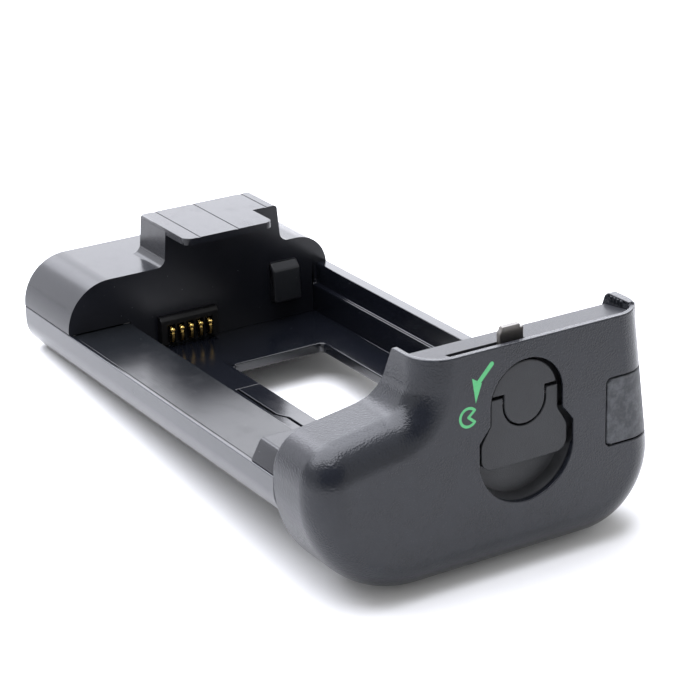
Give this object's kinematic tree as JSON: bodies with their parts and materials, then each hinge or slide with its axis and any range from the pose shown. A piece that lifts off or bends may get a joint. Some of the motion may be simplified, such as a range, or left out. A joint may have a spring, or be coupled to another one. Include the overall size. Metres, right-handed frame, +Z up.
{
  "type": "camera battery grip tray",
  "caption": "Slide-in battery tray of a camera grip: glossy open tray with contact hood, matte rounded end cap with a folding-handle turn lock.",
  "frame": {"origin": "on the tray's flat underside, midway across it, below the wall that the battery's contact end meets", "axes": "+X runs along the tray from that wall to the lock knob, +Z is up, +Y goes to the side of the tall far wall"},
  "size_m": [0.111, 0.0687, 0.042],
  "materials": {
    "tray_black": "glossy moulded black, fine flow marks",
    "cover_black": "glossy moulded black",
    "hood_black": "glossy black with a faint satin break-up",
    "wedge_black": "satin moulded black",
    "connector_black": "satin black liquid-crystal polymer",
    "gold": "gold plating, lightly rubbed",
    "board_green": "solder-masked fibreglass",
    "strip_amber": "amber film with copper tracks",
    "screw_black": "blackened steel",
    "block_black": "glossy moulded black",
    "cap_grey": "soft-touch matte dark grey, fine grain",
    "flap_rubber": "mottled dark rubber",
    "plate_black": "smooth satin dark grey",
    "knob_grey": "smooth satin dark grey",
    "handle_grey": "smooth satin dark grey",
    "steel": "bright turned steel",
    "hook_steel": "dark stamped steel",
    "housing_black": "satin moulded black"
  },
  "bodies": {
    "tray": {"tray_base": "tray_black", "ledge_cover": "cover_black", "contact_hood": "hood_black", "guide_wedge": "wedge_black", "connector_block": "connector_black", "contact_board": "board_green", "wiring_strip": "strip_amber", "terminal_block": "connector_black", "grip_terminals": "gold", "hood_screws": "screw_black", "end_block": "block_black", "end_cap_shell": "cap_grey", "end_cap_plate": "plate_black", "spring_washer": "steel", "latch_housing": "housing_black", "cap_screws": "screw_black", "tray_screws": "screw_black"},
    "knob": {"knob_disc": "knob_grey", "handle_pins": "steel", "knob_shaft": "steel", "latch_hook": "hook_steel", "shaft_clip": "steel"},
    "handle": {"knob_handle": "handle_grey"},
    "latch": {"battery_latch": "tray_black"},
    "contacts": {"battery_contacts": "gold"},
    "flap": {"cable_flap": "flap_rubber"}
  },
  "joints": [
    {"name": "knob_turn", "type": "hinge", "parent": "tray", "child": "knob", "pos_m": [0.0887, 0.01235, 0.0175], "axis": [1, 0, 0], "range_deg": [0, 90]},
    {"name": "handle_flip", "type": "hinge", "parent": "knob", "child": "handle", "pos_m": [0.0887, 0.01235, 0.0175], "axis": [0, -1, 0], "range_deg": [0, 90]},
    {"name": "latch_press", "type": "hinge", "parent": "tray", "child": "latch", "pos_m": [0.02705, -0.005, 0.00155], "axis": [0, 1, 0], "range_deg": [0, 4.2], "stiffness_Nm_per_rad": 0.8},
    {"name": "contacts_press", "type": "slide", "parent": "tray", "child": "contacts", "axis": [-1, 0, 0], "range_m": [0, 0.0008], "stiffness_N_per_m": 2000},
    {"name": "flap_open", "type": "hinge", "parent": "tray", "child": "flap", "pos_m": [0.0809, 0.03938, 0.011], "axis": [0, -0.121, 0.9927], "range_deg": [0, 90], "stiffness_Nm_per_rad": 0.004}
  ]
}
